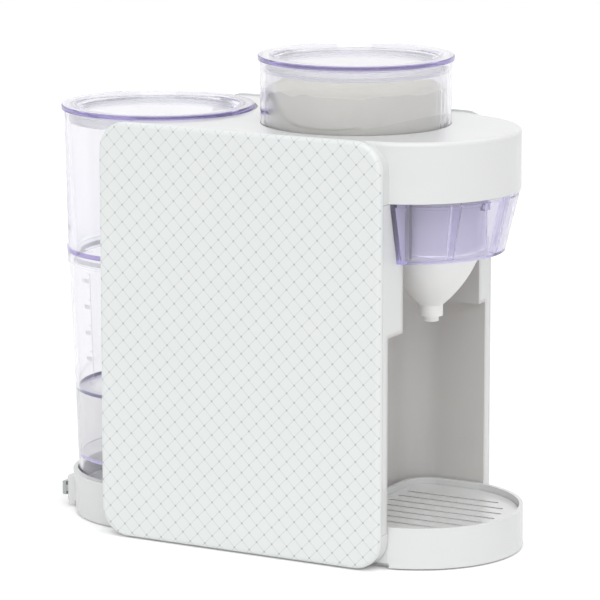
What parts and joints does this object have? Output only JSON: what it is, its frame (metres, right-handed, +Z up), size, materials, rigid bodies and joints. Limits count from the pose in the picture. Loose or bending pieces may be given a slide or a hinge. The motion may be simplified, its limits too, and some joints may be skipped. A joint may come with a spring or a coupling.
{
  "type": "baby formula maker",
  "caption": "Countertop baby formula maker with a clear water tank, a round powder container, a mixing funnel under a rounded head and a drip tray below.",
  "frame": {"origin": "on the counter under the middle of the machine's outer box", "axes": "+X to the front, where the funnel and the tray are, +Y to the side with the controls, +Z up"},
  "size_m": [0.3428, 0.168, 0.333],
  "materials": {
    "white_shell": "glossy white moulded plastic",
    "patterned_panel": "satin plate printed with a fine diamond lattice and dots",
    "bay_grey": "light warm grey",
    "clear_plastic": "clear with a violet tint at its edges",
    "violet_clear": "clear with a light violet tint",
    "funnel_plastic": "frosted, lets a little light through",
    "silicone": "translucent seal",
    "rubber": "grey feet",
    "gear_plastic": "natural acetal",
    "steel": "plain",
    "motor_metal": "plated can",
    "circuit_board": "green laminate",
    "control_grey": "mid grey",
    "display_glass": "dark window",
    "button_white": "white caps"
  },
  "bodies": {
    "root": {"base_shell": "white_shell", "base_cover": "white_shell", "rubber_feet": "rubber", "base_screws": "steel", "mid_housing": "white_shell", "bay_liner": "bay_grey", "top_shell": "white_shell", "head_floor": "white_shell", "near_side_panel": "patterned_panel", "far_side_panel": "patterned_panel", "control_bezel": "control_grey", "display_window": "display_glass", "control_board": "circuit_board", "idler_axle": "steel", "dosing_motor": "motor_metal", "tank_seat": "white_shell", "tank_seat_seal": "silicone", "guard_rails": "white_shell", "water_nozzle": "white_shell", "powder_chute": "white_shell", "bottle_sensor": "display_glass", "water_pump": "motor_metal", "water_heater": "steel", "suction_hose": "silicone", "pump_hose": "silicone", "outlet_hose": "silicone", "main_board": "circuit_board", "power_module": "control_grey", "switch_collar": "white_shell", "power_inlet": "control_grey"},
    "plus_button": {"plus_button": "button_white"},
    "minus_button": {"minus_button": "button_white"},
    "menu_button": {"menu_button": "button_white"},
    "start_button": {"start_button": "button_white"},
    "power_rocker": {"power_rocker": "control_grey"},
    "drive_gear": {"drive_gear": "gear_plastic"},
    "idler_gear": {"idler_gear": "gear_plastic"},
    "motor_rotor": {"motor_pinion": "gear_plastic", "motor_shaft": "steel"},
    "powder_container": {"powder_jar": "clear_plastic", "powder_hopper": "clear_plastic"},
    "dosing_wheel": {"dosing_wheel": "gear_plastic", "stirrer": "gear_plastic"},
    "powder_lid": {"powder_lid": "clear_plastic", "powder_lid_seal": "silicone"},
    "water_tank": {"tank_lower_vessel": "clear_plastic", "tank_upper_vessel": "clear_plastic", "tank_mid_seal": "silicone", "tank_valve_body": "white_shell", "tank_valve_spring": "steel"},
    "tank_valve": {"tank_valve_poppet": "white_shell"},
    "tank_lid": {"tank_lid": "clear_plastic", "tank_lid_seal": "silicone"},
    "funnel_guard": {"funnel_guard": "violet_clear"},
    "mixing_funnel": {"mixing_funnel": "funnel_plastic", "funnel_lock_ring": "violet_clear"},
    "drip_tray": {"drip_tray": "white_shell"},
    "drip_grille": {"drip_grille": "white_shell"}
  },
  "joints": [
    {"name": "tank_lift", "type": "slide", "parent": "root", "child": "water_tank", "axis": [0, 0, 1], "range_m": [0, 0.28]},
    {"name": "tank_lid_lift", "type": "slide", "parent": "water_tank", "child": "tank_lid", "axis": [0, 0, 1], "range_m": [0, 0.03]},
    {"name": "tank_valve_lift", "type": "slide", "parent": "water_tank", "child": "tank_valve", "axis": [0, 0, 1], "range_m": [0, 0.003], "stiffness_N_per_m": 150, "springref_m": -0.004, "deforming": ["tank_valve_spring"]},
    {"name": "container_lift", "type": "slide", "parent": "root", "child": "powder_container", "axis": [0, 0, 1], "range_m": [0, 0.1]},
    {"name": "powder_lid_lift", "type": "slide", "parent": "powder_container", "child": "powder_lid", "axis": [0, 0, 1], "range_m": [0, 0.03]},
    {"name": "dosing_turn", "type": "hinge", "parent": "powder_container", "child": "dosing_wheel", "pos_m": [0.0514, 0, 0.26], "axis": [0, 0, 1], "continuous": true},
    {"name": "drive_turn", "type": "hinge", "parent": "root", "child": "drive_gear", "pos_m": [0.0514, 0, 0.252], "axis": [0, 0, 1], "continuous": true},
    {"name": "idler_turn", "type": "hinge", "parent": "root", "child": "idler_gear", "pos_m": [0.0164, 0, 0.252], "axis": [0, 0, 1], "continuous": true},
    {"name": "motor_turn", "type": "hinge", "parent": "root", "child": "motor_rotor", "pos_m": [-0.0046, 0, 0.252], "axis": [0, 0, 1], "continuous": true},
    {"name": "guard_slide", "type": "slide", "parent": "root", "child": "funnel_guard", "axis": [1, 0, 0], "range_m": [0, 0.12]},
    {"name": "funnel_turn", "type": "hinge", "parent": "funnel_guard", "child": "mixing_funnel", "pos_m": [0.109, 0, 0.22], "axis": [0, 0, 1], "range_deg": [0, 25]},
    {"name": "tray_slide", "type": "slide", "parent": "root", "child": "drip_tray", "axis": [1, 0, 0], "range_m": [0, 0.12]},
    {"name": "grille_lift", "type": "slide", "parent": "drip_tray", "child": "drip_grille", "axis": [0, 0, 1], "range_m": [0, 0.04]},
    {"name": "plus_press", "type": "slide", "parent": "root", "child": "plus_button", "axis": [0, -1, 0], "range_m": [0, 0.0015], "stiffness_N_per_m": 400, "springref_m": -0.0008},
    {"name": "minus_press", "type": "slide", "parent": "root", "child": "minus_button", "axis": [0, -1, 0], "range_m": [0, 0.0015], "stiffness_N_per_m": 400, "springref_m": -0.0008},
    {"name": "menu_press", "type": "slide", "parent": "root", "child": "menu_button", "axis": [0, -1, 0], "range_m": [0, 0.0015], "stiffness_N_per_m": 400, "springref_m": -0.0008},
    {"name": "start_press", "type": "slide", "parent": "root", "child": "start_button", "axis": [0, -1, 0], "range_m": [0, 0.0015], "stiffness_N_per_m": 400, "springref_m": -0.0008},
    {"name": "power_rock", "type": "hinge", "parent": "root", "child": "power_rocker", "pos_m": [-0.1627, -0.02, 0.0125], "axis": [0, 1, 0], "range_deg": [0, 12]}
  ],
  "couplings": [
    {"joint": "drive_turn", "follows": "dosing_turn", "ratio": 1},
    {"joint": "idler_turn", "follows": "dosing_turn", "ratio": -1.5},
    {"joint": "motor_turn", "follows": "dosing_turn", "ratio": 3}
  ]
}
